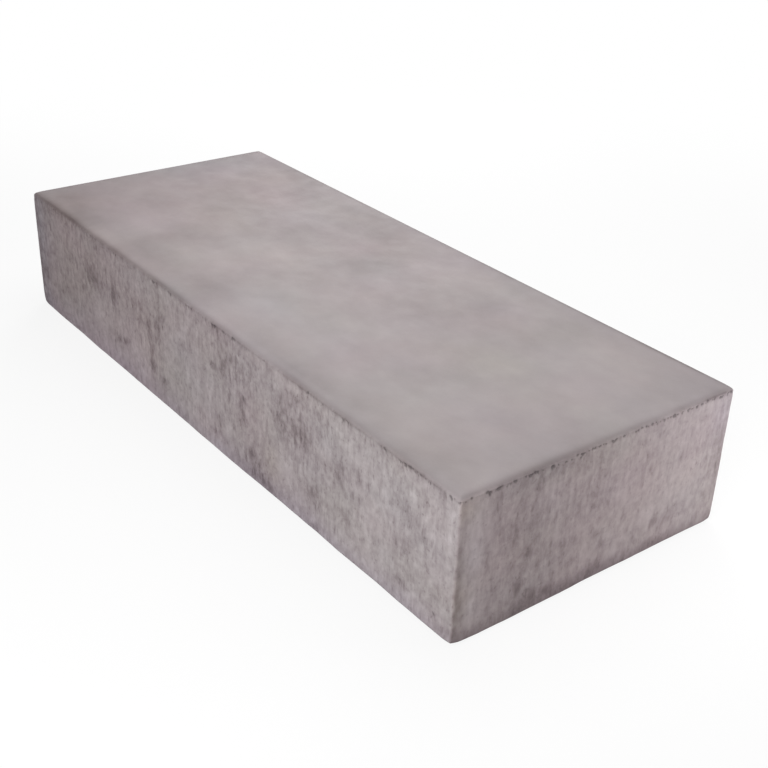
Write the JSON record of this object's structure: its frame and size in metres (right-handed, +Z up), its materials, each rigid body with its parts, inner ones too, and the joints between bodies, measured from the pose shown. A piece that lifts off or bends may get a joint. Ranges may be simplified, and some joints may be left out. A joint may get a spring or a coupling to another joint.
{
  "type": "precast concrete step",
  "caption": "Solid rectangular concrete block laid as a stair or garden step, with a smooth flat tread, a narrow bevel round it and plain drag-marked sides.",
  "frame": {"origin": "middle of the bed face, the underside that the step rests on", "axes": "+X along the stair's width, which is the step's length; the front riser faces -Y; +Z up, out of the tread"},
  "size_m": [1, 0.4, 0.18],
  "materials": {
    "concrete": "matt grey dry-cast concrete, smooth and cloudy on the tread, pitted and drag-marked on the sides"
  },
  "bodies": {
    "root": {"step_block": "concrete"}
  },
  "joints": []
}
